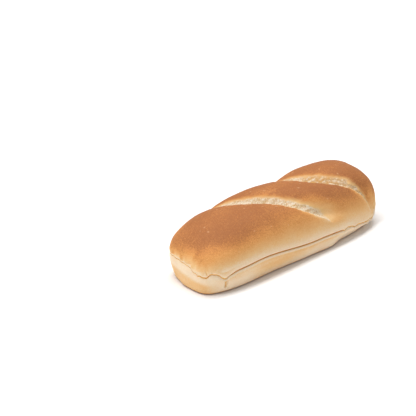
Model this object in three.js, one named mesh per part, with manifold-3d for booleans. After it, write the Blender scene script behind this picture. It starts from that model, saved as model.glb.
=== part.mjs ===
// A soft long roll for a sausage: a dome scored twice across the top, a lower wall, and a knife cut
// between them. Millimetres, +Z up. X runs along the roll and the cut side is -Y. The origin is in the
// middle of the base.

import * as THREE from "three";
import { mergeVertices } from "three/addons/utils/BufferGeometryUtils.js";
import Module from "manifold-3d";

// The whole roll.
const LENGTH = 155;
const WIDTH = 52.6;
const HEIGHT = 41.8;
const HALF_LENGTH = LENGTH / 2;
const HALF_WIDTH = WIDTH / 2;

// Plan outline: a superellipse whose corners are squarer where the power is higher.
const PLAN_POWER = { low: 4.2, high: 4.6 };

// Dome: how long it stays level along X before it drops to each end, and how round it is across.
const LONG_POWER = { low: 2.7, high: 6.2 };
const END_DROP = 2.9;
const CROSS_POWER = 2.68;

// Round the outline, [degrees anticlockwise from +X, mm]: the height of the seam below the dome, ...
const SEAM_HEIGHT = [
  [-180, 17.2], [-145, 13.8], [-116, 15.6], [-80, 10.9], [-48, 8.2], [-25, 12.5], [0, 14.5],
  [90, 14.5], [157, 18.0],
];
// ... how far its ragged stretches stray from that, ...
const SEAM_STRAY = [
  [-180, 0], [-168, 0.4], [-163, -1.4], [-146, -0.8], [-142, 1.4], [-138, 0.8], [-133, -3.4],
  [-126, -1.0], [-110, 0], [-67, 0], [-64, -0.7], [-61.5, 0.5], [-57, -0.3], [-50, -1.2], [-45, -1.3],
  [-38, 1.0], [-20, -0.6], [0, 0.5], [20, -0.4], [60, 0], [120, 0.6], [150, -0.4],
];
// ... how deep the natural crack goes in along it ...
const CRACK_DEPTH = [
  [-180, 1.4], [-140, 1.9], [-128, 1.2], [-60, 1.2], [-40, 1.6], [0, 1.4], [60, 0.8], [120, 0.8],
  [160, 1.4],
];
// ... and how far the lower wall leans in before it reaches the foot.
const WALL_LEAN = [
  [-180, 0.5], [-150, 0.7], [-130, 1.5], [-107, 2.6], [-85, 1.2], [-71, 0.5], [-63, 3.1], [-45, 3.9],
  [0, 2.4], [140, 3.0], [158, 2.6],
];
const FOOT_RADIUS = 3;
const STRAY_FADE = 9; // the higher, the sooner the stray dies out up the dome
const WALL_CURVE = 1.5; // 1 is a straight lower wall, and more lets it bulge

// The crack's mouth, and the rounded lips above and below it.
const CRACK_GAP = 0.5;
const LIP = 1.3;
const LIP_INSET = { outer: 0.15, inner: 0.6 };

// The knife cut, which takes the place of the crack along -Y.
const CUT_FROM = -62;
const CUT_TO = 37;
const CUT_RUNOUT = 5; // the length over which it reaches its full depth at each end
const CUT_HINGE = 12; // uncut bread left along +Y
const CUT_MOUTH = 0.9;
const CUT_GAP = 0.5;

// A short tear runs straight down from the cut's low end.
const TEAR_TURN = -132.5; // degrees round the outline
const TEAR_WIDTH = 1.8;
const TEAR_DEPTH = 2.2;
const TEAR_REACH = 1; // how far outside the outline the tear's wide end stands
const TEAR_FOOT = 3;
const TEAR_TOP = 12;

// Two slanting scores. Each leaves a raised edge towards -X and a groove that climbs gently towards +X.
// Length is the groove's, along X. Slant is in mm along X while the score runs down a side of the dome,
// from the ridge to the seam. On the cut side its bend, also in mm along X, comes on top of that between
// two shares of the side. The score ends at a share of each side.
const SCORES = [
  { ridge: -26.5, length: 26, cutSlant: 54, farSlant: 48, bend: 9, bendFrom: 0.35, bendTo: 0.95,
    cutEnd: 0.86, farEnd: 1 },
  { ridge: 19.5, length: 35, cutSlant: 28, farSlant: 39, bend: 21, bendFrom: 0.06, bendTo: 0.75,
    cutEnd: 1.08, farEnd: 0.86 },
];
const SCORE_FADE_FROM = 0.72; // the share of a score's end at which it starts to fade
const GROOVE_DEPTH = 4.6;
const GROOVE_FLOOR = { from: 0.07, to: 0.1 }; // it lies deepest between these shares of its length
const GROOVE_SQUEEZE = 40; // nearer than this to the grid's end the groove is squeezed ...
const GROOVE_SHALLOWS = 16; // ... and nearer than this it is also shallower
const EDGE_DROP = 0.8; // how much the raised edge has already come down
const EDGE_REACH = 7;
const MIDDLE_SWELL = 0.5; // how much the lobe between the scores stands proud

// The dome's top is a grid of columns, which follow the scores, and rows, which run along the roll.
const GRID_END = 73; // where the grid's first and last columns stand
const GRID_SIDE = 0.92; // the share of the dome's side that the grid reaches down
const GRID_ROWS = 24;
const FIRST_LOBE_STEPS = [
  0, 0.02, 0.045, 0.08, 0.13, 0.2, 0.28, 0.37, 0.46, 0.55, 0.64, 0.73, 0.81, 0.88, 0.94, 0.98,
];
const MIDDLE_LOBE_STEPS = [0, 0.22, 0.44, 0.64, 0.8, 0.92];
const LAST_LOBE_STEPS = [0, 0.12, 0.24, 0.36, 0.48, 0.6, 0.7, 0.79, 0.87, 0.94, 1];
const GROOVE_STEPS = [0, 0.035, 0.07, 0.16, 0.28, 0.42, 0.58, 0.78];
const BAND_SHARES = [0.8, 0.62, 0.45, 0.28, 0.13];
const WALL_STEPS = [0.3, 0.65, 1];
const FOOT_STEPS = [1 / 3, 2 / 3, 1];
const SLOPE_STEP = 0.05; // over which the dome's slope is taken
const HALVINGS = 40; // when a point is closed in on

const { clamp, lerp, smoothstep, degToRad } = THREE.MathUtils;

// ---------- the plain roll, before the scores ----------

const end = (x) => (x < 0 ? "low" : "high");
const along = (x) => Math.min(Math.abs(x) / HALF_LENGTH, 1);

function halfWidth(x) {
  const n = PLAN_POWER[end(x)];
  return HALF_WIDTH * (1 - along(x) ** n) ** (1 / n);
}

// Where a ray from the middle meets the outline.
function onOutline(dx, dy) {
  const n = PLAN_POWER[end(dx)];
  const share = (Math.abs(dx / HALF_LENGTH) ** n + Math.abs(dy / HALF_WIDTH) ** n) ** (1 / n);
  return new THREE.Vector2(dx / share, dy / share);
}

function outlineNormal({ x, y }) {
  const n = PLAN_POWER[end(x)];
  const gx = (Math.sign(x) * Math.abs(x / HALF_LENGTH) ** (n - 1)) / HALF_LENGTH;
  const gy = (Math.sign(y) * Math.abs(y / HALF_WIDTH) ** (n - 1)) / HALF_WIDTH;
  return new THREE.Vector2(gx, gy).normalize();
}

// A value read off one of the tables above, easing from each entry to the next.
function roundTheOutline(table, { x, y }) {
  const turn = (Math.atan2(y / HALF_WIDTH, x / HALF_LENGTH) * 180) / Math.PI;
  const next = table.findIndex(([angle]) => angle > turn);
  const [a0, v0] = table[(next < 0 ? table.length : next) - 1];
  const [a1, v1] = next < 0 ? [180, table[0][1]] : table[next];
  return lerp(v0, v1, smoothstep(turn, a0, a1));
}

const seamHeight = (p) => roundTheOutline(SEAM_HEIGHT, p) + roundTheOutline(SEAM_STRAY, p);

// 1 on the crown of the dome and 0 on its edge.
function rise(x, y) {
  const lengthwise = (1 - along(x) ** LONG_POWER[end(x)]) ** (1 / END_DROP);
  const across = Math.min(Math.abs(y) / Math.max(halfWidth(x), 0.01), 1);
  return lengthwise * (1 - across ** CROSS_POWER) ** (1 / CROSS_POWER);
}

// The seam's stray dies out within a few millimetres above it.
function onDome(x, y) {
  const r = rise(x, y);
  const seam = roundTheOutline(SEAM_HEIGHT, { x, y });
  const stray = roundTheOutline(SEAM_STRAY, { x, y }) * (1 - r) ** STRAY_FADE;
  return new THREE.Vector3(x, y, lerp(seam, HEIGHT, r) + stray);
}

// Side runs from -1 at the seam along -Y to 1 at the seam along +Y, evenly round the cross-section.
function acrossAt(side) {
  if (side === 0) return 0;
  const cotangent = 1 / Math.tan((Math.abs(side) * Math.PI) / 2);
  return Math.sign(side) * (1 + cotangent ** CROSS_POWER) ** (-1 / CROSS_POWER);
}

// ---------- the scores ----------

function edgeAt({ ridge, cutSlant, farSlant, bend, bendFrom, bendTo }, side) {
  if (side > 0) return ridge - farSlant * side;
  return ridge - cutSlant * side + bend * smoothstep(-side, bendFrom, bendTo);
}

function grooveEndAt(score, side) {
  const start = edgeAt(score, side);
  return start + score.length * Math.min((GRID_END - start) / GROOVE_SQUEEZE, 1);
}

// How strongly the score is cut at this side: it fades to nothing near both of its ends.
function strength(score, side) {
  const fade = 1 - smoothstep(side < 0 ? -side / score.cutEnd : side / score.farEnd, SCORE_FADE_FROM, 1);
  return fade * Math.min((GRID_END - edgeAt(score, side)) / GROOVE_SHALLOWS, 1);
}

// Share 0 is the raised edge and 1 is where the groove has climbed back.
function grooveDepth(share) {
  const drop = smoothstep(share, 0, GROOVE_FLOOR.from);
  const climb = 1 - smoothstep(share, GROOVE_FLOOR.to, 1);
  return lerp(EDGE_DROP, GROOVE_DEPTH, drop) * climb;
}

// One row of the grid: for each column its x and how deep it lies under the plain dome.
function gridRow(side) {
  const edges = SCORES.map((score) => edgeAt(score, side));
  const ends = SCORES.map((score) => grooveEndAt(score, side));
  const columns = [];
  const lobe = (from, to, steps, score, swell = 0) => {
    for (const step of steps) {
      const x = lerp(from, to, step);
      const drop = score ? EDGE_DROP * Math.exp((x - to) / EDGE_REACH) * strength(score, side) : 0;
      columns.push({ x, depth: drop - swell * Math.sin(Math.PI * step) * (1 - side ** 2) });
    }
  };
  const groove = (score, from, to) => {
    for (const step of GROOVE_STEPS) {
      columns.push({ x: lerp(from, to, step), depth: grooveDepth(step) * strength(score, side) });
    }
  };
  lobe(-GRID_END, edges[0], FIRST_LOBE_STEPS, SCORES[0]);
  groove(SCORES[0], edges[0], ends[0]);
  lobe(ends[0], edges[1], MIDDLE_LOBE_STEPS, SCORES[1], MIDDLE_SWELL);
  groove(SCORES[1], edges[1], ends[1]);
  lobe(ends[1], GRID_END, LAST_LOBE_STEPS);
  return columns.map(({ x, depth }) => ({ x, y: halfWidth(x) * acrossAt(side), depth, side }));
}

// ---------- the skin ----------

const vertices = [];
const triangles = [];
const addVertex = (x, y, z) => vertices.push(x, y, z) / 3 - 1;
const addQuad = (a, b, c, d) => triangles.push(a, b, c, a, c, d);

// The grid on top. Each vertex is pushed in along the dome's normal by its depth.
function pushedIn({ x, y, depth }) {
  const p = onDome(x, y);
  if (depth === 0) return p;
  const dx = onDome(x + SLOPE_STEP, y).sub(onDome(x - SLOPE_STEP, y));
  const dy = onDome(x, y + SLOPE_STEP).sub(onDome(x, y - SLOPE_STEP));
  return p.addScaledVector(dx.cross(dy).normalize(), -depth);
}

const sides = Array.from({ length: GRID_ROWS + 1 }, (_, i) => GRID_SIDE * ((2 * i) / GRID_ROWS - 1));
const grid = sides.map((side) =>
  gridRow(side).map((column) => {
    const { x, y, z } = pushedIn(column);
    return { ...column, id: addVertex(x, y, z) };
  }),
);
const lastColumn = grid[0].length - 1;
for (let i = 0; i < GRID_ROWS; i++) {
  for (let j = 0; j < lastColumn; j++) {
    addQuad(grid[i][j].id, grid[i][j + 1].id, grid[i + 1][j + 1].id, grid[i + 1][j].id);
  }
}

// The grid's rim, anticlockwise from above.
const rim = [
  ...grid[0].slice(0, -1),
  ...grid.slice(0, -1).map((row) => row[lastColumn]),
  ...grid[GRID_ROWS].slice(1).reverse(),
  ...grid.slice(1).map((row) => row[0]).reverse(),
];

// From each rim point a line runs out to the outline, fanned evenly round the ends.
function outwards({ x, side }) {
  const middle = clamp(x, HALF_WIDTH - HALF_LENGTH, HALF_LENGTH - HALF_WIDTH);
  const y = (halfWidth(x) * acrossAt(GRID_SIDE) * side) / GRID_SIDE;
  let [near, far] = [1, 4];
  for (let i = 0; i < HALVINGS; i++) {
    const reach = (near + far) / 2;
    const px = lerp(middle, x, reach);
    if (along(px) < 1 && Math.abs(y * reach) < halfWidth(px)) near = reach;
    else far = reach;
  }
  return onOutline(lerp(middle, x, near), y * near);
}

// The point on the line from the rim to the outline where the dome has come down to this share of its rise.
function whereRiseIs(target, from, to) {
  let [near, far] = [0, 1];
  for (let i = 0; i < HALVINGS; i++) {
    const t = (near + far) / 2;
    if (rise(lerp(from.x, to.x, t), lerp(from.y, to.y, t)) > target) near = t;
    else far = t;
  }
  return new THREE.Vector2(lerp(from.x, to.x, near), lerp(from.y, to.y, near));
}

// 1 where the knife went in, 0 where the seam is only a natural crack.
function cutShare({ x, y }) {
  if (y > 0) return 0;
  return smoothstep(x, CUT_FROM, CUT_FROM + CUT_RUNOUT) * smoothstep(-x, -CUT_TO, CUT_RUNOUT - CUT_TO);
}

// One column of the side, from the rim down to the base.
function sideColumn(start) {
  const edge = outwards(start);
  const normal = outlineNormal(edge);
  const seam = seamHeight(edge);
  const lean = roundTheOutline(WALL_LEAN, edge);
  const cut = cutShare(edge);
  const inwards = normal.clone().negate().lerp(new THREE.Vector2(0, 1), cut).normalize();
  const mouth = lerp(CRACK_GAP, CUT_MOUTH, cut) / 2;
  const gap = lerp(CRACK_GAP / 2, CUT_GAP, cut) / 2;
  const depth = lerp(roundTheOutline(CRACK_DEPTH, edge), WIDTH - CUT_HINGE, cut);
  const startRise = rise(start.x, start.y);
  const column = [];
  const add = (inset, z, direction = inwards) => {
    const p = edge.clone().addScaledVector(direction, inset);
    column.push(addVertex(p.x, p.y, z));
  };
  for (const share of BAND_SHARES) {
    const p = whereRiseIs(startRise * share, start, edge);
    const q = pushedIn({ x: p.x, y: p.y, depth: start.depth * share });
    column.push(addVertex(q.x, q.y, q.z));
  }
  add(LIP_INSET.outer, seam + LIP);
  add(LIP_INSET.inner, seam + mouth);
  add(depth, seam + gap);
  add(depth, seam - gap);
  add(LIP_INSET.inner, seam - mouth);
  add(LIP_INSET.outer, seam - LIP);
  const straightIn = normal.clone().negate();
  for (const step of WALL_STEPS) {
    add(lean * step ** WALL_CURVE, lerp(seam - LIP, FOOT_RADIUS, step), straightIn);
  }
  for (const step of FOOT_STEPS) {
    const turn = degToRad(90 * step);
    add(lean + FOOT_RADIUS * (1 - Math.cos(turn)), FOOT_RADIUS * (1 - Math.sin(turn)), straightIn);
  }
  return [start.id, ...column];
}

const columns = rim.map(sideColumn);
const rows = columns[0].length;
columns.forEach((column, k) => {
  const next = columns[(k + 1) % columns.length];
  for (let i = 0; i < rows - 1; i++) addQuad(column[i], column[i + 1], next[i + 1], next[i]);
});

// The flat base, which looks down.
const baseIds = columns.map((column) => column[rows - 1]);
const basePoints = baseIds.map((id) => new THREE.Vector2(vertices[3 * id], vertices[3 * id + 1]));
for (const [a, b, c] of THREE.ShapeUtils.triangulateShape(basePoints, [])) {
  triangles.push(baseIds[a], baseIds[c], baseIds[b]);
}

const skin = new THREE.BufferGeometry();
skin.setAttribute("position", new THREE.Float32BufferAttribute(vertices, 3));
skin.setIndex(triangles);

// ---------- the tear ----------

// A wedge that stands on the outline, its sharp edge pointing into the roll.
function tearWedge() {
  const turn = degToRad(TEAR_TURN);
  const foot = onOutline(HALF_LENGTH * Math.cos(turn), HALF_WIDTH * Math.sin(turn));
  const wedge = new THREE.Shape([
    new THREE.Vector2(TEAR_REACH, -TEAR_WIDTH / 2),
    new THREE.Vector2(TEAR_REACH, TEAR_WIDTH / 2),
    new THREE.Vector2(-TEAR_DEPTH, 0),
  ]);
  const tear = new THREE.ExtrudeGeometry(wedge, { depth: TEAR_TOP - TEAR_FOOT, bevelEnabled: false });
  tear.rotateZ(outlineNormal(foot).angle());
  tear.translate(foot.x, foot.y, TEAR_FOOT);
  return tear;
}

const wasm = await Module();
wasm.setup();

function toSolid(geometry) {
  geometry.deleteAttribute("normal");
  geometry.deleteAttribute("uv");
  const merged = mergeVertices(geometry);
  const vertProperties = merged.attributes.position.array;
  const triVerts = Uint32Array.from(merged.index.array);
  return new wasm.Manifold(new wasm.Mesh({ numProp: 3, vertProperties, triVerts }));
}

function toGeometry(solid) {
  const { vertProperties, triVerts } = solid.getMesh();
  const geometry = new THREE.BufferGeometry();
  geometry.setAttribute("position", new THREE.BufferAttribute(vertProperties, 3));
  geometry.setIndex(new THREE.BufferAttribute(triVerts, 1));
  geometry.computeVertexNormals();
  return geometry;
}

const tornSkin = toSolid(skin).subtract(toSolid(tearWedge()));

const crust = new THREE.MeshStandardMaterial({ color: "#cf9560", roughness: 0.55, metalness: 0 });
const bun = new THREE.Mesh(toGeometry(tornSkin), crust);
bun.name = "bun";

const roll = new THREE.Group();
roll.add(bun);

export default roll;
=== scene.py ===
"""A side-sliced hot dog bun: a dense crust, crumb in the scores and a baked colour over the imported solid.

The shape is worked out in millimetres, from the same sizes as the solid, and turned to metres at the end.
"""
import math

import bpy
import numpy as np
from mathutils import Matrix, Vector


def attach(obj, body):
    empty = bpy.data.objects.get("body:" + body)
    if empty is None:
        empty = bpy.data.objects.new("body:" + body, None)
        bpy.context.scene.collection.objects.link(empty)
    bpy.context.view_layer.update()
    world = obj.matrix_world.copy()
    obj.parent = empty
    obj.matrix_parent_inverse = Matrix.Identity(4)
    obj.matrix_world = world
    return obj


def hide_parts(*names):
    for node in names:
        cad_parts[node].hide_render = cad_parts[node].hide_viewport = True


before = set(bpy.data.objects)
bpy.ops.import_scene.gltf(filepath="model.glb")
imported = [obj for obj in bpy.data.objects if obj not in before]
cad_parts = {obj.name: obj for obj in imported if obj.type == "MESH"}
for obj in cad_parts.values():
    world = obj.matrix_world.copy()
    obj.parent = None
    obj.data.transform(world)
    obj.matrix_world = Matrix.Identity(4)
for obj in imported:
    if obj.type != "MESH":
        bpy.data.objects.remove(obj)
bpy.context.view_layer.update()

MM = 0.001

# ---------- sizes of the roll, as in the solid ----------

LENGTH = 155.0
WIDTH = 52.6
HEIGHT = 41.8
HALF_LENGTH = LENGTH / 2
HALF_WIDTH = WIDTH / 2

# Plan outline, at the -X and the +X end: a superellipse, squarer where the power is higher.
PLAN_POWER = (4.2, 4.6)

# Dome: how long it stays level along X before it drops to each end, and how round it is across.
LONG_POWER = (2.7, 6.2)
END_DROP = 2.9
CROSS_POWER = 2.68

# Tables round the outline, (degrees, mm): the seam's height, its ragged stray, the crack's depth and the
# lean of the lower wall. The degrees go anticlockwise from +X, as if the roll were as wide as it is long.
SEAM_HEIGHT = [
    (-180, 17.2), (-145, 13.8), (-116, 15.6), (-80, 10.9), (-48, 8.2), (-25, 12.5), (0, 14.5),
    (90, 14.5), (157, 18.0),
]
SEAM_STRAY = [
    (-180, 0), (-168, 0.4), (-163, -1.4), (-146, -0.8), (-142, 1.4), (-138, 0.8), (-133, -3.4),
    (-126, -1.0), (-110, 0), (-67, 0), (-64, -0.7), (-61.5, 0.5), (-57, -0.3), (-50, -1.2), (-45, -1.3),
    (-38, 1.0), (-20, -0.6), (0, 0.5), (20, -0.4), (60, 0), (120, 0.6), (150, -0.4),
]
CRACK_DEPTH = [
    (-180, 1.4), (-140, 1.9), (-128, 1.2), (-60, 1.2), (-40, 1.6), (0, 1.4), (60, 0.8), (120, 0.8),
    (160, 1.4),
]
WALL_LEAN = [
    (-180, 0.5), (-150, 0.7), (-130, 1.5), (-107, 2.6), (-85, 1.2), (-71, 0.5), (-63, 3.1), (-45, 3.9),
    (0, 2.4), (140, 3.0), (158, 2.6),
]
WALL_CURVE = 1.5  # 1 is a straight lower wall, and more lets it bulge
FOOT_RADIUS = 3.0
STRAY_FADE = 9  # the higher, the sooner the stray dies out up the dome

# The crack's mouth, and the rounded lips above and below it.
CRACK_GAP = 0.5
LIP_HEIGHT = 1.3
LIP_INSET = 0.6

# The knife cut, which takes the place of the crack along -Y.
CUT_FROM = -62.0
CUT_TO = 37.0
CUT_RUNOUT = 5.0  # the length over which it reaches its full depth at each end
CUT_HINGE = 12.0  # uncut bread left along +Y
CUT_GAP = 0.5

# A short tear runs straight down from the cut's low end.
TEAR_TURN = -132.5  # degrees round the outline
TEAR_WIDTH = 1.8
TEAR_DEPTH = 2.2

# Each score leaves a raised edge towards -X and a groove that climbs towards +X. Ridge is where the edge
# crosses the crown, length is the groove's, and slant is how far the edge moves along X down a side. Its
# bend on the cut side comes between two shares of that side. The score has run out at a share of each side.
SCORES = [
    dict(ridge=-26.5, length=26.0, cut_slant=54, far_slant=48, bend=9, bend_from=0.35, bend_to=0.95,
         cut_end=0.86, far_end=1.0),
    dict(ridge=19.5, length=35.0, cut_slant=28, far_slant=39, bend=21, bend_from=0.06, bend_to=0.75,
         cut_end=1.08, far_end=0.86),
]
SCORE_FADE_FROM = 0.72  # the share of a score's end at which it starts to fade
GROOVE_DEPTH = 4.6
GROOVE_FLOOR = (0.07, 0.1)  # it lies deepest between these shares of its length
GROOVE_SQUEEZE = 40.0  # nearer than this to the grid's end the groove is squeezed ...
GROOVE_SHALLOWS = 16.0  # ... and nearer than this it is also shallower
EDGE_DROP = 0.8  # how much the raised edge has already come down
EDGE_REACH = 7.0
MIDDLE_SWELL = 0.5  # how much the lobe between the scores stands proud

GRID_END = 73.0  # where the grid's first and last columns stand
GRID_SIDE = 0.92  # the share of the dome's side that the grid reaches down
SLOPE_STEP = 0.05  # over which the dome's slope is taken
HALVINGS = 40  # when a point is closed in on
OUTLINE_WITHIN = 4.0  # times as far from the middle line as the rim, where the outline is looked for

# ---------- sizes finer than the solid's ----------

# How far the crack stands open round the outline, from 0 to 1, and what share of its mouth and of its depth
# is left where it is shut, and where it is open.
CRACK_OPEN = [
    (-180, 0.12), (-160, 0.2), (-152, 0.8), (-144, 0.95), (-137, 0.5), (-60, 0.5), (120, 0.5), (150, 0.2),
]
CRACK_MOUTH = 0.9
CRACK_MOUTH_SHARE = (0.25, 1.0)
CRACK_DEPTH_SHARE = (0.15, 0.55)
CUT_MOUTH = 0.7
TEAR_ARC = 55.0  # mm of outline to a radian of turn, by the tear
TEAR_FADE = (0.75, 1.0)  # it ends between these shares of the way down the wall
BASE_REACH = 0.97  # the share of the way to the middle line that the base's rings go

# Waves in the raised edges as they go down the side, (mm, waves): long ones, and short ones in the scores.
FRAY_LONG = (0.30, 47)
FRAY_SHORT = (0.22, 113)

# Layers of noise, (mm, size in mm, seed).
CRACK_WANDER = [(0.55, 3.2, 5), (0.40, 1.3, 6)]
CRACK_OPEN_STRAY = [(0.4, 4.0, 7)]
CRUMB_STRAY = [(0.8, 3.0, 31), (0.6, 1.2, 32)]  # twice as much in the second score
DENTS = [(0.26, 17, 1), (0.13, 7, 2), (0.035, 2.0, 3)]
WALL_DENTS = 0.8  # the share of the dents that the lower wall has

# Wrinkles and creases by the crack on both ends: the middle and the reach of their band above the seam, and
# where along the roll they start and are full. Each noise is (size in mm, seed). A crease runs where its
# noise crosses zero, and its width is a level of that noise.
CRACK_BAND = (1, 4)
CRACK_BAND_ENDS = (62, 70)
WRINKLE_NOISE = (2.6, 71)
WRINKLE_HEIGHT = 0.34
FINE_WRINKLE_NOISE = (1.2, 72)
FINE_WRINKLE_HEIGHT = 0.18
CREASE_NOISE = (4.2, 74)
CREASE_SQUASH = (1, 0.6, 1)  # creases are longer across the roll
CREASE_WIDTH = 0.11
CREASE_DEPTH = 0.3

# The torn crumb, (in the first score, in the second): how high its strands and its pores stand. The
# strands are noise on the distance past the raised edge, the side and the score's number, each stretched.
STRAND_HEIGHT = (0.03, 0.19)
STRAND_STRETCH = (0.32, 62, 50)
STRAND_NOISE = (1.5, 11)
PORE_HEIGHT = (0.12, 0.22)
PORE_NOISE = (1.3, 12)
CRUMB_SUNK = 0.1

BLISTERS = 70  # places tried, and those on the crumb or near the seam are passed over
BLISTER_SEED = 7
BLISTER_RADIUS = (0.35, 0.75)
BLISTER_HEIGHT = 0.12
BLISTER_CLEAR = 3.0

# ---------- mesh density ----------

GRID_ROWS = 130
FIRST_LOBE_COLUMNS = 120
MIDDLE_LOBE_COLUMNS = 34
LAST_LOBE_COLUMNS = 80
LOBE_CROWDING = 0.6  # 0 spaces the first lobe's columns evenly, and 1 crowds them at both ends
GROOVE_COLUMNS = 56
GROOVE_CROWDING = 1.4  # 1 spaces a groove's columns evenly, and more crowds them at its raised edge
BAND_ROWS = 14
BAND_CLEARANCE = 0.4  # between the band's last row and the lip
BAND_END = (0.02, 0.9)  # the least and the most of the rim's rise that the band's last row has
LIP_ROWS = 5
CUT_ROWS = 4
WALL_ROWS = 14
FOOT_ROWS = 5
BASE_RINGS = 3

# ---------- crumb and browning ----------

# Levels go from 0, pale, to 1, the brown of the crown. Places are in mm. A side is -1 at the seam on the
# cut side and 0 on the crown, and strong is a score's strength there, from 0 to 1.

# How far past its raised edge each score shows crumb, by side.
CRUMB_WIDTH = [
    [(-0.80, 0), (-0.72, 3), (-0.60, 9.5), (-0.40, 11), (0.0, 15), (0.30, 13.5), (0.60, 11)],
    [(-0.92, 2), (-0.84, 5), (-0.76, 8), (-0.68, 10.5), (-0.60, 11.5), (-0.50, 12.5), (-0.40, 14),
     (-0.20, 16.5), (0.0, 17), (0.30, 14), (0.60, 11)],
]

# How toasted the second score's crumb is, by side, on top of the least.
TOASTED = [(-0.6, 0.2), (-0.4, 0.6), (-0.25, 1.0), (-0.05, 0.85), (0.2, 0.45)]
TOASTED_LEAST = 0.12

# By height above the seam, on the middle of the long sides. Towards the ends the height counts for more.
BAKE_BY_HEIGHT = [
    (0, 0.10), (3, 0.12), (5, 0.24), (7, 0.34), (9, 0.42), (11, 0.50), (13, 0.57), (15, 0.64), (17, 0.70),
    (21, 0.80), (25, 0.91), (32, 1.0),
]
BAKE_ALONG = [
    (-76, 2.1), (-70, 1.9), (-55, 1.55), (-35, 1.28), (-5, 1.0), (25, 1.03), (55, 1.15), (76, 1.4),
]

# Uneven baking, as layers of noise, and what it does: on the dome, in mm of height and as a level, on the
# wall and on the base. Raised wrinkles show in the baking as well, and the sunk creases get painted shade.
UNEVEN_BAKE = [(0.6, 26, 41), (0.4, 11, 42), (0.25, 4.5, 43)]
UNEVEN_HEIGHT = 1.2
UNEVEN_DOME = 0.03
UNEVEN_WALL = 0.12
UNEVEN_BASE = 0.10
WRINKLE_BAKE = 0.24
WALL_WRINKLE_BAKE = 0.16
CREASE_SHADE = 0.30
SPOT_NOISE = (2.2, 61)
SPOT_SQUASH = (1, 1, 0.45)  # spots are longer up the side
BLOTCH_NOISE = (9, 51)

# Each table below is a list of patches: how much a patch adds, and its limits on x, y, the height above the
# seam, and so on. Two limits are where it starts and is full, and two more where it starts to fade and is
# gone. An "about" pair is the middle and the reach of a soft band. Past_edge and past_crumb are how far a
# place lies past a score's raised edge and past its crumb.

CRUMB_PATCHES = [dict(add=1, strong=(0.03, 0.25), past_edge=(0.05, 0.5), past_crumb=(1.2, -1.0))]
GOLD_PATCHES = [dict(add=1, strong=(0.03, 0.3), past_crumb=(6.0, -0.5))]
GOLD_RAGGED = 0.8  # how much of the crumb's stray the gold's end has
# Painted light: the crumb and gold are paler down the cut side, where it slopes away from the lamps, and
# less so at the score's low end.
STEEP_FILL_LIGHT_PATCHES = [dict(add=0.9, side=(-0.14, -0.48)), dict(add=-0.225, side=(-0.56, -0.68))]
FLATTER_CRUMB = [dict(add=-0.5, side=(-0.3, -0.6))]
# Painted warm shade in the tear at the cut's low end.
TEAR_BOUNCE = [dict(add=0.9, in_tear=(0.1, 0.7))]

# Down the cut side the raised edge ends in a lip with a painted highlight, and the crust stays light past
# the first score.
LIP_HIGHLIGHT = [dict(add=1, side=(-0.42, -0.7), strong=(0.02, 0.2))]
LIP_HIGHLIGHT_REACH = 1.3
LIP_HIGHLIGHT_LEVEL = 0.25
FIRST_SCORE_PATCHES = [dict(add=-0.24, strong=(0.03, 0.3), side=(-0.27, -0.5), past_crumb=(18, 5))]

DOME_PATCHES = [
    # by the seam at both ends
    dict(add=0.10, x=(-60, -74), above=(7, 1)),
    dict(add=0.12, x=(40, 56), above=(7, 1)),
    # just above it on the -X end, paler at the sliced corner and darker away from it
    dict(add=-0.10, x=(-66, -75), above=(0, 3, 4, 10)),
    dict(add=0.28, x=(-66, -75), y=(-12, 6), above=(0, 3, 4, 10)),
    # higher on the -X end, darker on its far part and paler at the sliced corner
    dict(add=0.18, x=(-62, -72), y=(-6, 14), about_above=(8.5, 4)),
    dict(add=-0.13, x=(-50, -64), y=(-8, -14), about_above=(14.5, 4)),
    # the far side's shoulder
    dict(add=0.10, y=(4, 14), above=(12, 20)),
]
SLICED_SIDE_PATCHES = [
    # spots by the +X end, and a place between the scores
    dict(add=0.13, x=(56, 66), above=(1, 5, 14, 20), spots=(-0.4, 0.7)),
    dict(add=0.13, about_x=(31, 6), about_above=(11, 4)),
]
WALL_PALE = 0.06
WALL_SLOPE = 0.12  # how much higher "sloping_z" is for each mm towards +Y
WALL_PATCHES = [
    # low on the -X end, and at the top of the wall away from it
    dict(add=0.34, x=(-62, -70), y=(-22, -15), sloping_z=(12, 8)),
    dict(add=0.16, x=(-70, -60), z=(6, 10)),
    # scattered
    dict(add=0.08, blotches=(0.1, 0.6)),
]
LONG_WALL_PATCHES = [dict(add=0.29, about_x=(-16, 26), about_z=(6.5, 3.6))]
LONG_WALL_FROM = 18.0  # how far out in Y they start
UNDER_CUT_PATCHES = [dict(add=0.16, above=(-4.5, -1.2))]
WALL_FOOT = (1.6, 0.2)  # between these heights it turns brown, downwards
WALL_FOOT_LEVEL = 0.88
LIP_LEVEL = 0.10
CUT_LEVEL = 0.70
BASE_LEVEL = 0.90

# Each lip takes on the painted warm bounce light on its way into the slit: (from this share of the way, how
# much at the end).
UPPER_LIP_BOUNCE = (0.55, 1.0)
LOWER_LIP_BOUNCE = (0.7, 0.6)

# ---------- small helpers ----------


def smooth(value, start, stop):
    """From 0 at the start to 1 at the stop, whichever of them is higher."""
    t = np.clip((value - start) / (stop - start), 0, 1)
    return t * t * (3 - 2 * t)


def mix(a, b, t):
    return a + (b - a) * t


def band(value, middle, reach):
    """1 at the middle, fading away on both sides."""
    return np.exp(-(((value - middle) / reach) ** 2))


def hashed(ix, iy, iz, seed):
    """A fixed pseudo-random number from -1 to 1 for each lattice point."""
    h = (ix * 73856093) ^ (iy * 19349663) ^ (iz * 83492791) ^ (seed * 2654435761 & 0x7FFFFFFF)
    h = (h ^ (h >> 13)) * 1274126177 & 0x7FFFFFFF
    h = (h ^ (h >> 16)) * 668265263 & 0x7FFFFFFF
    return (h & 0xFFFFFF) / float(0x7FFFFF) - 1


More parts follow.
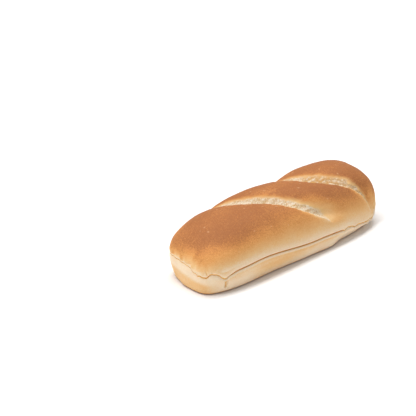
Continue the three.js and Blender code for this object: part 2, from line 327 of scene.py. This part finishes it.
def noise(points, size, seed):
    """Smooth noise from -1 to 1 with features of this size, for points in rows of three."""
    q = points / size
    cell = np.floor(q).astype(np.int64)
    f = q - cell
    f = f * f * f * (f * (f * 6 - 15) + 10)
    total = 0
    for step in np.ndindex(2, 2, 2):
        weight = np.abs(1 - np.array(step) - f).prod(-1)
        total = total + weight * hashed(*np.moveaxis(cell + step, -1, 0), seed)
    return total


def layered(points, layers):
    return sum(amount * noise(points, size, seed) for amount, size, seed in layers)


def patched(patches, **levels):
    """What these patches add up to. The levels are what their limits are on."""
    total = 0
    for patch in patches:
        share = patch["add"]
        for name, level in levels.items():
            if name in patch:
                start, full, *fading = patch[name]
                share = share * smooth(level, start, full)
                if fading:
                    share = share * smooth(level, fading[1], fading[0])
            if "about_" + name in patch:
                share = share * band(level, *patch["about_" + name])
        total = total + share
    return total


# ---------- the plain roll ----------


def by_end(x, pair):
    return np.where(x < 0, pair[0], pair[1])


def along(x):
    return np.minimum(np.abs(x) / HALF_LENGTH, 1)


def half_width(x):
    n = by_end(x, PLAN_POWER)
    return HALF_WIDTH * np.maximum(1 - along(x) ** n, 0) ** (1 / n)


def on_outline(dx, dy):
    """The place on the outline in this direction from the middle."""
    n = by_end(dx, PLAN_POWER)
    share = (np.abs(dx / HALF_LENGTH) ** n + np.abs(dy / HALF_WIDTH) ** n) ** (1 / n)
    return dx / share, dy / share


def outline_normal(x, y):
    """The way out of the roll, square to its outline."""
    n = by_end(x, PLAN_POWER)
    gx = np.sign(x) * np.abs(x / HALF_LENGTH) ** (n - 1) / HALF_LENGTH
    gy = np.sign(y) * np.abs(y / HALF_WIDTH) ** (n - 1) / HALF_WIDTH
    size = np.hypot(gx, gy)
    return gx / size, gy / size


def turn_of(x, y):
    return np.degrees(np.arctan2(y / HALF_WIDTH, x / HALF_LENGTH))


def round_the_outline(table, turn):
    """A table's value at this turn round the outline, smooth between its entries."""
    angles = np.array([angle for angle, _ in table] + [180.0])
    values = np.array([value for _, value in table] + [table[0][1]])
    k = np.clip(np.searchsorted(angles, turn, side="right") - 1, 0, len(angles) - 2)
    return mix(values[k], values[k + 1], smooth(turn, angles[k], angles[k + 1]))


def rise(x, y):
    """How high the dome stands over the seam: 1 on the crown, 0 at the outline."""
    lengthwise = np.maximum(1 - along(x) ** by_end(x, LONG_POWER), 0) ** (1 / END_DROP)
    across = np.minimum(np.abs(y) / np.maximum(half_width(x), 0.01), 1)
    return lengthwise * (1 - across**CROSS_POWER) ** (1 / CROSS_POWER)


def on_dome(x, y):
    r = rise(x, y)
    turn = turn_of(x, y)
    stray = round_the_outline(SEAM_STRAY, turn) * (1 - r) ** STRAY_FADE
    return np.stack([x, y, mix(round_the_outline(SEAM_HEIGHT, turn), HEIGHT, r) + stray], -1)


def dome_normal(x, y):
    dx = on_dome(x + SLOPE_STEP, y) - on_dome(x - SLOPE_STEP, y)
    dy = on_dome(x, y + SLOPE_STEP) - on_dome(x, y - SLOPE_STEP)
    normal = np.cross(dx, dy)
    return normal / np.linalg.norm(normal, axis=-1, keepdims=True)


def pushed_in(x, y, depth):
    return on_dome(x, y) - dome_normal(x, y) * depth[..., None]


def across_at(side):
    """Where across the dome, from -1 to 1, a place this far down its side is."""
    cotangent = 1 / np.tan(np.maximum(np.abs(side), 1e-6) * math.pi / 2)
    return np.sign(side) * (1 + cotangent**CROSS_POWER) ** (-1 / CROSS_POWER)


# ---------- the scores ----------


def edge_at(score, side):
    """Where along X the score's raised edge is."""
    bend = score["bend"] * smooth(-side, score["bend_from"], score["bend_to"])
    cut_side = score["ridge"] - score["cut_slant"] * side + bend
    return np.where(side > 0, score["ridge"] - score["far_slant"] * side, cut_side)


def groove_end_at(score, side):
    start = edge_at(score, side)
    return start + score["length"] * np.minimum((GRID_END - start) / GROOVE_SQUEEZE, 1)


def strength(score, side):
    """1, or less where the score runs out or comes near the grid's end."""
    end = np.where(side < 0, -side / score["cut_end"], side / score["far_end"])
    shallows = np.minimum((GRID_END - edge_at(score, side)) / GROOVE_SHALLOWS, 1)
    return (1 - smooth(end, SCORE_FADE_FROM, 1)) * shallows


def groove_depth(share):
    """How deep the groove is at this share of its length."""
    drop = smooth(share, 0, GROOVE_FLOOR[0])
    climb = 1 - smooth(share, GROOVE_FLOOR[1], 1)
    return mix(EDGE_DROP, GROOVE_DEPTH, drop) * climb


# ---------- the grid on top ----------

NO_EDGE = 99.0  # stands for the distance past a raised edge where there is none


def frayed_edge_at(score, side):
    """The raised edge isn't quite straight."""
    long_reach, long_waves = FRAY_LONG
    short_reach, short_waves = FRAY_SHORT
    phase = score["ridge"]
    fray = long_reach * math.sin(long_waves * side + phase)
    fray += short_reach * math.sin(short_waves * side + 2 * phase) * strength(score, side)
    return edge_at(score, side) + fray


def crowded(count, at_ends):
    """Shares from 0 to just under 1, evenly spaced or crowded at both ends."""
    t = np.arange(count) / count
    return mix(t, (1 - np.cos(math.pi * t)) / 2, at_ends)


def lobe(side, start, stop, shares, number, rises=True, swell=0.0):
    """Columns that rise to the raised edge of the score with this number, or just end."""
    x = mix(start, stop, shares)
    strong = strength(SCORES[number], side) if rises else 0.0
    drop = EDGE_DROP * np.exp((x - stop) / EDGE_REACH) * strong
    depth = drop - swell * np.sin(math.pi * shares) * (1 - side**2)
    past = x - stop if rises else NO_EDGE + 0 * x
    return np.stack([x, depth, past, strong + 0 * x, number + 0 * x])


def groove(side, start, stop, number):
    score = SCORES[number]
    shares = (np.arange(GROOVE_COLUMNS) / GROOVE_COLUMNS) ** GROOVE_CROWDING
    strong = strength(score, side) + 0 * shares
    depth = groove_depth(shares) * strong
    past = shares * score["length"]
    return np.stack([mix(start, stop, shares), depth, past, strong, number + 0 * shares])


def grid_columns(side):
    """One row's columns: x, depth, distance past the raised edge, and the score's strength and number."""
    edges = [frayed_edge_at(score, side) for score in SCORES]
    ends = [groove_end_at(score, side) for score in SCORES]
    return np.concatenate([
        lobe(side, -GRID_END, edges[0], crowded(FIRST_LOBE_COLUMNS, LOBE_CROWDING), 0),
        groove(side, edges[0], ends[0], 0),
        lobe(side, ends[0], edges[1], crowded(MIDDLE_LOBE_COLUMNS, 0), 1, swell=MIDDLE_SWELL),
        groove(side, edges[1], ends[1], 1),
        lobe(side, ends[1], GRID_END, np.linspace(0, 1, LAST_LOBE_COLUMNS), 1, rises=False),
    ], axis=1)


sides = np.linspace(-GRID_SIDE, GRID_SIDE, GRID_ROWS + 1)
grid = np.stack([grid_columns(side) for side in sides])
grid_x, grid_depth, grid_past, grid_strong, grid_number = (grid[:, k] for k in range(5))
grid_side = np.repeat(sides[:, None], grid_x.shape[1], 1)
grid_y = half_width(grid_x) * across_at(grid_side)
top = pushed_in(grid_x, grid_y, grid_depth)
row_count, column_count = grid_x.shape
top_count = row_count * column_count

# ---------- the grid's rim, and the place on the outline below each of its points ----------

rim_index = np.concatenate([
    [(0, j) for j in range(column_count - 1)],
    [(i, column_count - 1) for i in range(GRID_ROWS)],
    [(GRID_ROWS, j) for j in range(column_count - 1, 0, -1)],
    [(i, 0) for i in range(GRID_ROWS, 0, -1)],
])


def at_rim(values):
    return values[rim_index[:, 0], rim_index[:, 1]]


def on_middle_line(x):
    """The nearest x on the roll's middle line, which stops half a width short of each end."""
    return np.clip(x, HALF_WIDTH - HALF_LENGTH, HALF_LENGTH - HALF_WIDTH)


def outwards(x, side):
    """From the middle line through a rim point to the outline."""
    middle = on_middle_line(x)
    y = half_width(x) * across_at(np.array(GRID_SIDE)) * side / GRID_SIDE
    near, far = np.ones_like(x), np.full_like(x, OUTLINE_WITHIN)
    for _ in range(HALVINGS):
        reach = (near + far) / 2
        px = mix(middle, x, reach)
        inside = (along(px) < 1) & (np.abs(y * reach) < half_width(px))
        near, far = np.where(inside, reach, near), np.where(inside, far, reach)
    return on_outline(mix(middle, x, near), y * near)


def where_rise_is(target, x0, y0, x1, y1):
    """The place between two others, out from the first, where the dome's rise is down to the target."""
    near, far = np.zeros_like(x0), np.ones_like(x0)
    for _ in range(HALVINGS):
        t = (near + far) / 2
        over = rise(mix(x0, x1, t), mix(y0, y1, t)) > target
        near, far = np.where(over, t, near), np.where(over, far, t)
    return mix(x0, x1, near), mix(y0, y1, near)


rim_x, rim_y, rim_side, rim_depth = (at_rim(values) for values in (grid_x, grid_y, grid_side, grid_depth))
edge_x, edge_y = outwards(rim_x, rim_side)
normal_x, normal_y = outline_normal(edge_x, edge_y)
turn = turn_of(edge_x, edge_y)

# How much of the knife's cut each place has, from 0 to 1. The cut runs in along +Y, and the crack runs in
# square to the outline.
cut_start = smooth(edge_x, CUT_FROM, CUT_FROM + CUT_RUNOUT)
cut_stop = 1 - smooth(edge_x, CUT_TO - CUT_RUNOUT, CUT_TO)
cut = np.where(edge_y > 0, 0.0, cut_start * cut_stop)
in_x, in_y = mix(-normal_x, 0, cut), mix(-normal_y, 1, cut)
in_size = np.hypot(in_x, in_y)
in_x, in_y = in_x / in_size, in_y / in_size

# The crack wanders where no knife went.
edge_points = np.stack([edge_x, edge_y, 0 * edge_x], -1)
wander = layered(edge_points, CRACK_WANDER) * (1 - cut)
seam = round_the_outline(SEAM_HEIGHT, turn) + round_the_outline(SEAM_STRAY, turn) + wander
crack_open = np.clip(round_the_outline(CRACK_OPEN, turn) + layered(edge_points, CRACK_OPEN_STRAY), 0, 1)
mouth = mix(CRACK_MOUTH * mix(*CRACK_MOUTH_SHARE, crack_open), CUT_MOUTH, cut) / 2
gap = mix(CRACK_GAP / 2, CUT_GAP, cut) / 2
crack_depth = round_the_outline(CRACK_DEPTH, turn) * mix(*CRACK_DEPTH_SHARE, crack_open)
slit_depth = mix(crack_depth, WIDTH - CUT_HINGE, cut)
lean = round_the_outline(WALL_LEAN, turn)

# ---------- the sides, row by row from the rim to the base ----------

DOME, LIP, CUT, WALL, FOOT, BASE = range(6)
side_rows = []


def add_row(x, y, z, part, turned=0.0, torn=0.0):
    """A row, with how far it has turned into the crack and how far it is in the tear, from 0 to 1."""
    side_rows.append({
        "points": np.stack([x, y, z + 0 * x], -1),
        "part": np.full(len(x), part),
        "turned": turned + 0 * x,
        "torn": torn + 0 * x,
    })


def add_slit_row(inset, z, part, turned=0.0):
    add_row(edge_x + in_x * inset, edge_y + in_y * inset, z, part, turned)


def add_wall_row(inset, z, part, torn=0.0):
    add_row(edge_x - normal_x * inset, edge_y - normal_y * inset, z, part, torn=torn)


def down(count):
    """Shares from 1 / count to 1."""
    return np.arange(1, count + 1) / count


def back(count):
    """Shares from 1 to 0."""
    return np.arange(count, -1, -1) / count


def add_band():
    """The dome's last stretch, down to just over the lip."""
    rim_rise = rise(rim_x, rim_y)
    last_share = (LIP_HEIGHT + BAND_CLEARANCE) / (HEIGHT - seam) / rim_rise
    for t in down(BAND_ROWS):
        share = mix(1, np.clip(last_share, *BAND_END), t)
        x, y = where_rise_is(rim_rise * share, rim_x, rim_y, edge_x, edge_y)
        p = pushed_in(x, y, rim_depth * share)
        add_row(p[:, 0], p[:, 1], p[:, 2] + wander * t, DOME)


def add_lip_row(t, way, turns_from, turned):
    """A row of the rounded lip over the slit, way 1, or under it, way -1. It has turned in where t is 1."""
    inset = LIP_INSET * (1 - math.cos(t * math.pi / 2))
    off_seam = mouth + LIP_HEIGHT * (1 - math.sin(t * math.pi / 2))
    add_slit_row(inset, seam + way * off_seam, LIP, turned * smooth(t, turns_from, 1))


def add_slit():
    for t in down(LIP_ROWS):
        add_lip_row(t, 1, *UPPER_LIP_BOUNCE)
    for t in down(CUT_ROWS):
        add_slit_row(mix(LIP_INSET, slit_depth, t**2), seam + mix(mouth, gap, t), CUT)
    for t in back(CUT_ROWS):
        add_slit_row(mix(LIP_INSET, slit_depth, t**2), seam - mix(mouth, gap, t), CUT)
    for t in back(LIP_ROWS)[1:]:
        add_lip_row(t, -1, *LOWER_LIP_BOUNCE)


def add_lower_wall():
    wall_top = seam - mouth - LIP_HEIGHT
    off_tear = np.abs(turn - TEAR_TURN) * math.pi / 180 * TEAR_ARC
    for t in down(WALL_ROWS):
        torn = np.maximum(0, 1 - off_tear / (TEAR_WIDTH / 2)) * (1 - smooth(t, *TEAR_FADE))
        add_wall_row(lean * t**WALL_CURVE + TEAR_DEPTH * torn, mix(wall_top, FOOT_RADIUS, t), WALL, torn)
    for t in down(FOOT_ROWS):
        inset = lean + FOOT_RADIUS * (1 - math.cos(t * math.pi / 2))
        add_wall_row(inset, FOOT_RADIUS * (1 - math.sin(t * math.pi / 2)), FOOT)


def add_base():
    foot_x, foot_y, _ = side_rows[-1]["points"].T
    for t in down(BASE_RINGS) * BASE_REACH:
        add_row(mix(foot_x, on_middle_line(foot_x), t), foot_y * (1 - t), 0.0, BASE)


add_band()
add_slit()
add_lower_wall()
add_base()

# ---------- joining grid and sides into one mesh ----------

grid_ids = np.arange(top_count).reshape(row_count, column_count)
rim_ids = at_rim(grid_ids)
ring = len(rim_ids)
side_ids = np.vstack([rim_ids, top_count + np.arange(len(side_rows) * ring).reshape(-1, ring)])
grid_quads = np.stack([grid_ids[:-1, :-1], grid_ids[:-1, 1:], grid_ids[1:, 1:], grid_ids[1:, :-1]], -1)
next_ids = np.roll(side_ids, -1, 1)
side_quads = np.stack([side_ids[:-1], side_ids[1:], next_ids[1:], next_ids[:-1]], -1)
quads = np.concatenate([grid_quads.reshape(-1, 4), side_quads.reshape(-1, 4)])
base_face = side_ids[-1][::-1]
plain_points = np.concatenate([top.reshape(-1, 3)] + [row["points"] for row in side_rows])


def per_vertex(on_grid, on_rim):
    """One value for each vertex: from the grid on top, and from the rim down the sides."""
    return np.concatenate([on_grid.ravel()] + [on_rim] * len(side_rows))


def from_rows(name, on_top):
    """One value for each vertex: the same all over the top, and from the rows down the sides."""
    return np.concatenate([np.full(top_count, on_top)] + [row[name] for row in side_rows])


part = from_rows("part", DOME)
turned = from_rows("turned", 0.0)
in_tear = from_rows("torn", 0.0)
side = per_vertex(grid_side, rim_side)
past = per_vertex(grid_past, at_rim(grid_past))
strong = per_vertex(grid_strong, at_rim(grid_strong))
second = per_vertex(grid_number, at_rim(grid_number))  # 0 by the first score, and 1 by the second
cut_here = per_vertex(np.zeros_like(grid_x), cut)
seam_below = per_vertex(round_the_outline(SEAM_HEIGHT, turn_of(grid_x, grid_y)), seam)
x, y, z = plain_points.T
above = z - seam_below

# ---------- where the crumb shows ----------

first_width, second_width = (np.interp(side, *zip(*widths)) for widths in CRUMB_WIDTH)
crumb_width = np.where(second > 0.5, second_width, first_width)
past_crumb = past - crumb_width
ragged = layered(plain_points, CRUMB_STRAY)
in_score = (part == DOME) & (past >= 0) & (past < NO_EDGE)
crumb_end = past_crumb + ragged * (1 + second)
crumb = in_score * patched(CRUMB_PATCHES, strong=strong, past_edge=past, past_crumb=crumb_end)

# ---------- fine relief ----------


def vertex_normals(p):
    corners = [p[quads[:, k]] for k in range(4)]
    face = np.cross(corners[2] - corners[0], corners[3] - corners[1])
    total = np.zeros_like(p)
    for k in range(4):
        np.add.at(total, quads[:, k], face)
    return total / np.maximum(np.linalg.norm(total, axis=1, keepdims=True), 1e-9)


outside = (part == DOME) | (part == WALL) | (part == FOOT)
dents = outside * layered(plain_points, DENTS) * np.where(part == DOME, 1, WALL_DENTS)

# Small wrinkles and creases by the crack, on both ends.
by_crack = outside * band(above, *CRACK_BAND) * smooth(np.abs(x), *CRACK_BAND_ENDS)
wrinkles = noise(plain_points, *WRINKLE_NOISE)
fine_wrinkles = noise(plain_points, *FINE_WRINKLE_NOISE)
creases = band(noise(plain_points * CREASE_SQUASH, *CREASE_NOISE), 0, CREASE_WIDTH)
creases = creases * by_crack * (part == DOME)
dents += by_crack * (WRINKLE_HEIGHT * wrinkles + FINE_WRINKLE_HEIGHT * fine_wrinkles)
dents -= CREASE_DEPTH * creases

# The crumb is torn into strands that run across the score, coarser in the second one, and is flatter down
# the cut side.
strands = noise(np.stack([past, side, second], -1) * STRAND_STRETCH, *STRAND_NOISE)
pores = noise(plain_points, *PORE_NOISE)
torn = mix(*STRAND_HEIGHT, second) * strands + mix(*PORE_HEIGHT, second) * pores - CRUMB_SUNK
torn *= 1 + patched(FLATTER_CRUMB, side=side)


def make_blisters():
    """Small blisters in the crust: how high each vertex stands on one, from 0 to 1."""
    random = np.random.default_rng(BLISTER_SEED)
    top_points = plain_points[:top_count]
    height = np.zeros(len(plain_points))
    for _ in range(BLISTERS):
        middle = random.integers(0, top_count)
        radius = random.uniform(*BLISTER_RADIUS)
        if crumb[middle] > 0 or above[middle] < BLISTER_CLEAR:
            continue
        apart = np.linalg.norm(top_points - top_points[middle], axis=1) / radius
        height[:top_count] = np.maximum(height[:top_count], 1 - apart**2)
    return height


blister = make_blisters()
off_base = smooth(z, 0, FOOT_RADIUS)
relief = mix(dents, torn, crumb) * off_base + BLISTER_HEIGHT * blister
shape = plain_points + vertex_normals(plain_points) * relief[:, None]

# ---------- how baked each place is ----------

uneven = layered(plain_points, UNEVEN_BAKE)
spots = noise(plain_points * SPOT_SQUASH, *SPOT_NOISE)
blotches = noise(plain_points, *BLOTCH_NOISE)


def dome_bake():
    height = above * np.interp(x, *zip(*BAKE_ALONG)) + UNEVEN_HEIGHT * uneven
    level = np.interp(height, *zip(*BAKE_BY_HEIGHT)) + UNEVEN_DOME * uneven
    level += patched(DOME_PATCHES, x=x, y=y, above=above)
    level += patched(SLICED_SIDE_PATCHES, x=x, above=above, spots=spots) * (y < 0)
    # Raised wrinkles are baked darker, and the creases are darkened with painted shade.
    level += by_crack * (WRINKLE_BAKE * wrinkles + CREASE_SHADE * creases)
    by_first = in_score * (second < 0.5)
    level += by_first * patched(FIRST_SCORE_PATCHES, strong=strong, side=side, past_crumb=past_crumb)
    # A painted highlight along the lip of the raised edge, down the cut side.
    before_edge = (part == DOME) * (past <= 0) * np.exp(-np.maximum(-past, 0) / LIP_HIGHLIGHT_REACH)
    return mix(level, LIP_HIGHLIGHT_LEVEL, before_edge * patched(LIP_HIGHLIGHT, side=side, strong=strong))


def wall_bake():
    """Pale, and golden on the long sides, low on the -X end and just under the cut."""
    level = WALL_PALE + UNEVEN_WALL * uneven + WALL_WRINKLE_BAKE * by_crack * wrinkles
    level += patched(WALL_PATCHES, x=x, y=y, z=z, sloping_z=z - WALL_SLOPE * y, blotches=blotches)
    level += patched(LONG_WALL_PATCHES, x=x, z=z) * (np.abs(y) > LONG_WALL_FROM)
    level += patched(UNDER_CUT_PATCHES, above=above) * cut_here
    return mix(level, WALL_FOOT_LEVEL, smooth(z, *WALL_FOOT))


bake = np.select(
    [part == DOME, (part == WALL) | (part == FOOT), part == LIP, part == CUT, part == BASE],
    [dome_bake(), wall_bake(), LIP_LEVEL + 0 * x, CUT_LEVEL + 0 * x, BASE_LEVEL + UNEVEN_BASE * uneven],
)

# Past the crumb the crust goes from gold to brown.
gold = in_score * patched(GOLD_PATCHES, strong=strong, past_crumb=past_crumb + GOLD_RAGGED * ragged)
# Painted light: down the cut side, where the surface slopes away from the lamps, the crumb and the gold are
# paler.
steep_fill_light = patched(STEEP_FILL_LIGHT_PATCHES, side=side)
# Inside the crack and the cut a warm yellow-brown is painted as bounce light, and in the tear as warm
# shade.
slit_bounce = np.where(part == CUT, 1, turned) + patched(TEAR_BOUNCE, in_tear=in_tear)

LEVELS = {
    "bake": np.clip(bake, 0, 1),
    "crumb": crumb,
    # the strands' height, which paints shade in the crumb's dips
    "torn": crumb * strands,
    "steep_fill_light": steep_fill_light,
    # painted light down the cut side
    "toasted": TOASTED_LEAST + second * np.interp(side, *zip(*TOASTED)),
    "blister": blister,
    "gold": gold,
    # painted warm bounce light inside the slit, and warm shade in the tear
    "slit_bounce": np.clip(slit_bounce, 0, 1),
}

# ---------- the bun ----------


def make_bun():
    mesh = bpy.data.meshes.new("bun_skin")
    mesh.from_pydata((shape * MM).tolist(), [], quads.tolist() + [base_face.tolist()])
    mesh.shade_smooth()
    mesh.update()
    for name, values in LEVELS.items():
        layer = mesh.attributes.new(name, "FLOAT", "POINT")
        layer.data.foreach_set("value", values.astype(np.float32))
    return bpy.data.objects.new("bun_skin", mesh)


bun = make_bun()
bpy.context.scene.collection.objects.link(bun)

# ---------- materials: colours as seen on a screen, 0 to 255, and ramps as (level, colour) ----------

CRUST_COLOURS = [
    (0.00, (246, 224, 194)),
    (0.12, (243, 217, 183)),
    (0.25, (241, 207, 162)),
    (0.40, (237, 193, 137)),
    (0.55, (231, 177, 116)),
    (0.70, (219, 157, 94)),
    (0.82, (199, 135, 80)),
    (0.92, (175, 116, 71)),
    (1.00, (157, 101, 64)),
]
BLISTER_COLOUR = (232, 190, 145)
BLISTER_SHOWS = 0.45
GOLD_COLOURS = [
    (0.00, (203, 136, 74)),
    (0.45, (209, 155, 92)),
    (0.90, (204, 164, 116)),
]
# The gold with painted light, where it slopes down the cut side.
LIT_STEEP_GOLD_COLOUR = (242, 204, 145)
# The crumb's ramp, whose darker end is painted shade in pores and dips.
CRUMB_COLOURS = [
    (0.36, (182, 146, 101)),
    (0.45, (203, 178, 147)),
    (0.52, (210, 190, 162)),
    (0.63, (225, 212, 192)),
]
# The crumb with painted light, where it slopes down the cut side.
LIT_STEEP_CRUMB_COLOURS = [
    (0.36, (216, 183, 136)),
    (0.46, (245, 225, 194)),
    (0.62, (252, 240, 220)),
]
# How much painted shade falls in the dips between the crumb's strands.
STRAND_SHADE_SHOWS = 0.13
TOASTED_COLOUR = (190, 143, 88)
TOASTED_FLECKS = [(0.35, (0, 0, 0)), (0.6, (255, 255, 255))]
# Warm yellow-brown, painted as bounce light inside the slit and as shade in the tear.
SLIT_BOUNCE_COLOUR = (240, 186, 104)
FLOOR_COLOUR = (239, 238, 238)

# Satin crust, matt crumb.
CRUST_ROUGHNESS = 0.52
CRUMB_ROUGHER = 0.36
ROUGHNESS_STRAY = 0.12
GRAIN_HEIGHT = 0.12  # in mm, as bump
OPEN_PORE_HEIGHT = 0.6

# The places of a colour Mix node's sockets.
MIX_SHARE, MIX_A, MIX_B, MIX_RESULT = 0, 6, 7, 2


def linear(colour):
    """A colour as seen on a screen, made linear."""
    shares = [value / 255 for value in colour]
    return (*(s / 12.92 if s < 0.04 else ((s + 0.055) / 1.055) ** 2.4 for s in shares), 1.0)


class Nodes:
    """A short way to add and link shader nodes."""

    def __init__(self, name):
        self.material = bpy.data.materials.new(name)
        self.material.use_nodes = True
        self.tree = self.material.node_tree
        self.shader = self.tree.nodes["Principled BSDF"]

    def add(self, kind, inputs=None, **settings):
        node = self.tree.nodes.new(kind)
        for key, value in settings.items():
            setattr(node, key, value)
        for key, value in (inputs or {}).items():
            self.plug(value, node.inputs[key])
        return node

    def plug(self, value, socket):
        if isinstance(value, bpy.types.NodeSocket):
            self.tree.links.new(value, socket)
        else:
            socket.default_value = value

    def level(self, name):
        return self.add("ShaderNodeAttribute", attribute_name=name).outputs["Fac"]

    def plus(self, a, b, clamp=False):
        return self.add("ShaderNodeMath", {0: a, 1: b}, operation="ADD", use_clamp=clamp).outputs[0]

    def times(self, a, b):
        return self.add("ShaderNodeMath", {0: a, 1: b}, operation="MULTIPLY").outputs[0]

    def noise(self, scale, detail, roughness=0.55):
        """Noise from 0 to 1, with this many features to the metre."""
        place = self.add("ShaderNodeTexCoord").outputs["Object"]
        inputs = {"Vector": place, "Scale": scale, "Detail": detail, "Roughness": roughness}
        return self.add("ShaderNodeTexNoise", inputs).outputs["Fac"]

    def stray(self, reach, **noise):
        """Noise about zero."""
        return self.times(self.plus(self.noise(**noise), -0.5), reach)

    def ramp(self, value, stops):
        node = self.add("ShaderNodeValToRGB", {"Fac": value})
        elements = node.color_ramp.elements
        while len(elements) < len(stops):
            elements.new(0.5)
        for element, (position, colour) in zip(elements, stops):
            element.position = position
            element.color = linear(colour)
        return node.outputs["Color"]

    def mix(self, share, a, b):
        inputs = {MIX_SHARE: share, MIX_A: a, MIX_B: b}
        return self.add("ShaderNodeMix", inputs, data_type="RGBA").outputs[MIX_RESULT]


def crust_colour(m):
    """The crust by how baked it is, with a fine mottle and tiny specks, and gold past the scores' crumb."""
    mottle = m.stray(0.24, scale=800, detail=4, roughness=0.7)
    specks = m.stray(0.42, scale=2000, detail=2, roughness=0.5)
    crust = m.ramp(m.plus(m.level("bake"), m.plus(mottle, specks), clamp=True), CRUST_COLOURS)
    crust = m.mix(m.times(m.level("blister"), BLISTER_SHOWS), crust, linear(BLISTER_COLOUR))
    # Down the cut side the gold is mixed towards its painted-light colour.
    gold = m.mix(m.level("steep_fill_light"), m.ramp(m.level("gold"), GOLD_COLOURS), linear(LIT_STEEP_GOLD_COLOUR))
    return m.mix(m.level("gold"), crust, gold)


def crumb_colour(m):
    """The crumb, darker with painted shade in pores and dips, paler with painted light down the cut side,
    and toasted in flecks.
    """
    # Painted shade: darker specks for the crumb's pores, and darker where its strands dip.
    pore_and_strand_shade = m.plus(m.noise(scale=1300, detail=4, roughness=0.7), m.times(m.level("torn"), STRAND_SHADE_SHOWS))
    # Down the cut side the painted-light crumb ramp takes over.
    crumb = m.mix(m.level("steep_fill_light"), m.ramp(pore_and_strand_shade, CRUMB_COLOURS), m.ramp(pore_and_strand_shade, LIT_STEEP_CRUMB_COLOURS))
    flecks = m.ramp(m.noise(scale=420, detail=3, roughness=0.6), TOASTED_FLECKS)
    return m.mix(m.times(m.level("toasted"), flecks), crumb, linear(TOASTED_COLOUR))


def crust_material():
    m = Nodes("crust")
    crumb_level = m.level("crumb")
    colour = m.mix(crumb_level, crust_colour(m), crumb_colour(m))
    # Painted warm bounce light inside the slit and the crack's lips, and warm shade in the tear.
    colour = m.mix(m.level("slit_bounce"), colour, linear(SLIT_BOUNCE_COLOUR))
    m.plug(colour, m.shader.inputs["Base Color"])
    rough = m.plus(m.times(crumb_level, CRUMB_ROUGHER), CRUST_ROUGHNESS)
    rough = m.plus(rough, m.times(m.noise(scale=900, detail=2), ROUGHNESS_STRAY))
    m.plug(rough, m.shader.inputs["Roughness"])
    m.shader.inputs["Specular IOR Level"].default_value = 0.04
    m.shader.inputs["Subsurface Weight"].default_value = 0.08
    m.shader.inputs["Subsurface Radius"].default_value = (1.0, 0.55, 0.3)
    m.shader.inputs["Subsurface Scale"].default_value = 0.002
    # Fine grain all over, and open pores in the crumb.
    grain = m.times(m.noise(scale=1300, detail=4, roughness=0.6), GRAIN_HEIGHT)
    pore_noise = m.noise(scale=1100, detail=5, roughness=0.7)
    open_pores = m.times(m.times(pore_noise, crumb_level), OPEN_PORE_HEIGHT)
    bump = m.add("ShaderNodeBump", {"Strength": 1.0, "Distance": MM, "Height": m.plus(grain, open_pores)})
    m.plug(bump.outputs["Normal"], m.shader.inputs["Normal"])
    return m.material


def floor_material():
    m = Nodes("floor")
    m.shader.inputs["Base Color"].default_value = linear(FLOOR_COLOUR)
    m.shader.inputs["Roughness"].default_value = 0.9
    m.shader.inputs["Specular IOR Level"].default_value = 0.1
    return m.material


bun.data.materials.append(crust_material())
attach(bun, "root")
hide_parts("bun")

# ---------- floor, light and camera: metres and degrees ----------

FLOOR_REACH = 3.0

CAMERA_AZIMUTH = -41.9  # 0 looks along +Y
CAMERA_ELEVATION = 28
CAMERA_DISTANCE = 1.3
CAMERA_TARGET = Vector((0.0041, 0.0685, 0))
CAMERA_LENS = 168.2
CAMERA_SENSOR = 36

WORLD_STRENGTH = 0.42
LIGHT_TARGET = Vector((0, 0, 0.02))
# An oblong light overhead, along the roll, and a soft square one from the camera's left: the azimuth,
# elevation and distance that each comes from, its length and width, and its power in watts.
LIGHTS = {
    "key": (180, 84, 1.1, 1.2, 0.22, 11.4),
    "soft": (CAMERA_AZIMUTH - 80, 60, 1.2, 1.1, 1.1, 6),
}


def make_floor():
    corners = [(x * FLOOR_REACH, y * FLOOR_REACH, 0) for x, y in ((-1, -1), (1, -1), (1, 1), (-1, 1))]
    mesh = bpy.data.meshes.new("floor")
    mesh.from_pydata(corners, [], [(0, 1, 2, 3)])
    mesh.materials.append(floor_material())
    floor = bpy.data.objects.new("floor", mesh)
    bpy.context.scene.collection.objects.link(floor)


def place_round(target, azimuth, elevation, distance):
    """A place seen from the target at this azimuth, 0 in front at -Y, and elevation."""
    azimuth, elevation = math.radians(azimuth), math.radians(elevation)
    flat = math.cos(elevation)
    away = Vector((math.sin(azimuth) * flat, -math.cos(azimuth) * flat, math.sin(elevation)))
    return target + away * distance


def add_light(name, azimuth, elevation, distance, length, width, power):
    """An area light whose length runs along X."""
    light = bpy.data.lights.new(name, "AREA")
    light.shape = "RECTANGLE"
    light.size = length
    light.size_y = width
    light.energy = power
    lamp = bpy.data.objects.new(name, light)
    lamp.location = place_round(LIGHT_TARGET, azimuth, elevation, distance)
    away = (lamp.location - LIGHT_TARGET).normalized()
    up = away.cross(Vector((1, 0, 0))).normalized()
    lamp.rotation_euler = Matrix((up.cross(away), up, away)).transposed().to_euler()
    bpy.context.scene.collection.objects.link(lamp)


def set_world():
    world = bpy.data.worlds.new("studio")
    world.use_nodes = True
    background = world.node_tree.nodes["Background"]
    background.inputs["Color"].default_value = (1, 1, 1, 1)
    background.inputs["Strength"].default_value = WORLD_STRENGTH
    bpy.context.scene.world = world


def make_camera():
    data = bpy.data.cameras.new("camera")
    data.lens = CAMERA_LENS
    data.sensor_width = CAMERA_SENSOR
    data.clip_end = 20
    camera = bpy.data.objects.new("camera", data)
    camera.location = place_round(CAMERA_TARGET, CAMERA_AZIMUTH, CAMERA_ELEVATION, CAMERA_DISTANCE)
    camera.rotation_euler = (CAMERA_TARGET - camera.location).to_track_quat("-Z", "Y").to_euler()
    bpy.context.scene.collection.objects.link(camera)
    bpy.context.scene.camera = camera


make_floor()
make_camera()
set_world()
for light_name, settings in LIGHTS.items():
    add_light(light_name, *settings)
bpy.context.scene.view_settings.view_transform = "Standard"
